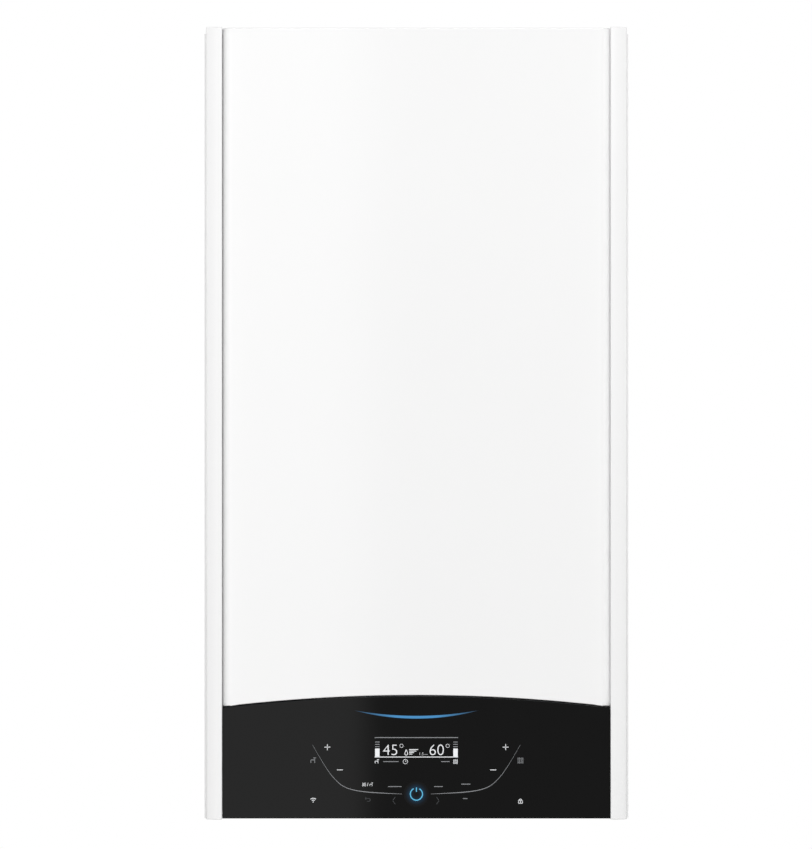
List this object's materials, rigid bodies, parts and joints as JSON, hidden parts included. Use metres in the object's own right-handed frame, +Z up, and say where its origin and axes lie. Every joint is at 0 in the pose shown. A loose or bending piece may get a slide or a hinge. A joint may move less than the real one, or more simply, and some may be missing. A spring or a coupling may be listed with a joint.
{
  "type": "wall-hung condensing gas boiler",
  "caption": "Wall-hung condensing gas boiler: white casing with raised edge trims, recessed front panel and a black touch facia with an arched top, flue socket above and pipe tails below.",
  "frame": {"origin": "midway between the two wall bolts, on the wall plane", "axes": "+Z up along the casing's height, +Y into the wall, the front faces -Y, +X to the right seen from the front"},
  "size_m": [0.4, 0.319, 0.745],
  "materials": {
    "white_enamel": "smooth stoved white enamel",
    "white_trim": "moulded white plastic, half gloss",
    "black_facia": "polished black plate",
    "light_guide": "clear blue-lit acrylic",
    "display": "display glass",
    "circuit_board": "green solder mask",
    "grey_plastic": "moulded grey plastic",
    "foam": "grey foam with a fleece face",
    "galvanised": "galvanised sheet",
    "cast_aluminium": "die cast",
    "stainless": "brushed stainless steel",
    "black_plastic": "moulded black plastic",
    "white_plastic": "moulded white plastic",
    "composite": "glass-filled plastic",
    "motor_casting": "grey painted casting",
    "brass": "machined brass",
    "copper": "drawn copper",
    "red_enamel": "red enamel",
    "red_plastic": "moulded red plastic",
    "rubber": "smooth rubber",
    "ceramic": "glazed ceramic"
  },
  "bodies": {
    "bracket": {"wall_bracket": "galvanised"},
    "chassis": {"back_frame": "galvanised", "left_side_panel": "white_enamel", "right_side_panel": "white_enamel", "top_plate": "white_enamel", "bottom_plate": "galvanised", "left_trim": "white_trim", "right_trim": "white_trim", "hinge_pins": "galvanised", "flue_collar": "white_plastic", "flue_pipe": "white_plastic", "heat_exchanger": "black_plastic", "exchanger_coil": "stainless", "support_rail": "galvanised", "burner_door": "cast_aluminium", "burner_door_nuts": "galvanised", "burner": "stainless", "ignition_electrode": "ceramic", "ignition_transformer": "grey_plastic", "ignition_lead": "rubber", "fan_housing": "cast_aluminium", "fan_motor": "motor_casting", "gas_air_mixer": "black_plastic", "intake_silencer": "black_plastic", "gas_valve": "cast_aluminium", "gas_pipe": "copper", "expansion_vessel": "red_enamel", "vessel_hose": "rubber", "pipe_tails": "brass", "flow_block": "composite", "return_block": "composite", "pump_body": "composite", "pump_motor": "motor_casting", "air_vent": "brass", "plate_exchanger": "stainless", "diverter_motor": "grey_plastic", "flow_pipe": "copper", "return_pipe": "copper", "safety_valve": "brass", "filling_tap": "brass", "condensate_trap": "white_plastic", "trap_cup": "white_plastic", "condensate_hose": "rubber"},
    "front_cover": {"front_panel": "white_enamel", "panel_insulation": "foam"},
    "control_panel": {"facia": "black_facia", "control_box": "grey_plastic", "control_box_cover": "grey_plastic", "main_board": "circuit_board", "touch_board": "circuit_board", "display_module": "display", "light_guide": "light_guide"},
    "fan_wheel": {"fan_impeller": "black_plastic"},
    "pump_wheel": {"pump_impeller": "composite"},
    "turbine_wheel": {"flow_turbine": "white_plastic"},
    "diverter": {"diverter_stem": "brass"},
    "tap_knob": {"filling_tap_knob": "black_plastic"},
    "valve_knob": {"safety_valve_knob": "red_plastic"}
  },
  "joints": [
    {"name": "lift_off", "type": "slide", "parent": "bracket", "child": "chassis", "axis": [0, 0, 1], "range_m": [0, 0.02]},
    {"name": "cover_tilt", "type": "hinge", "parent": "chassis", "child": "front_cover", "pos_m": [0, -0.307, 0.045], "axis": [-1, 0, 0], "range_deg": [0, 25]},
    {"name": "panel_swing", "type": "hinge", "parent": "chassis", "child": "control_panel", "pos_m": [0, -0.3, -0.676], "axis": [1, 0, 0], "range_deg": [0, 90]},
    {"name": "fan_spin", "type": "hinge", "parent": "chassis", "child": "fan_wheel", "pos_m": [-0.125, -0.23, -0.185], "axis": [0, 0, 1], "continuous": true},
    {"name": "pump_spin", "type": "hinge", "parent": "chassis", "child": "pump_wheel", "pos_m": [0.105, -0.146, -0.495], "axis": [0, 1, 0], "continuous": true},
    {"name": "turbine_spin", "type": "hinge", "parent": "chassis", "child": "turbine_wheel", "pos_m": [0.067, -0.155, -0.6], "axis": [0, 0, 1], "continuous": true},
    {"name": "diverter_slide", "type": "slide", "parent": "chassis", "child": "diverter", "axis": [0, 0, -1], "range_m": [0, 0.008]},
    {"name": "tap_turn", "type": "hinge", "parent": "chassis", "child": "tap_knob", "pos_m": [0.1, -0.172, -0.66], "axis": [0, 0, 1], "range_deg": [0, 90]},
    {"name": "valve_turn", "type": "hinge", "parent": "chassis", "child": "valve_knob", "pos_m": [-0.134, -0.228, -0.54], "axis": [0, -1, 0], "range_deg": [0, 90]}
  ]
}
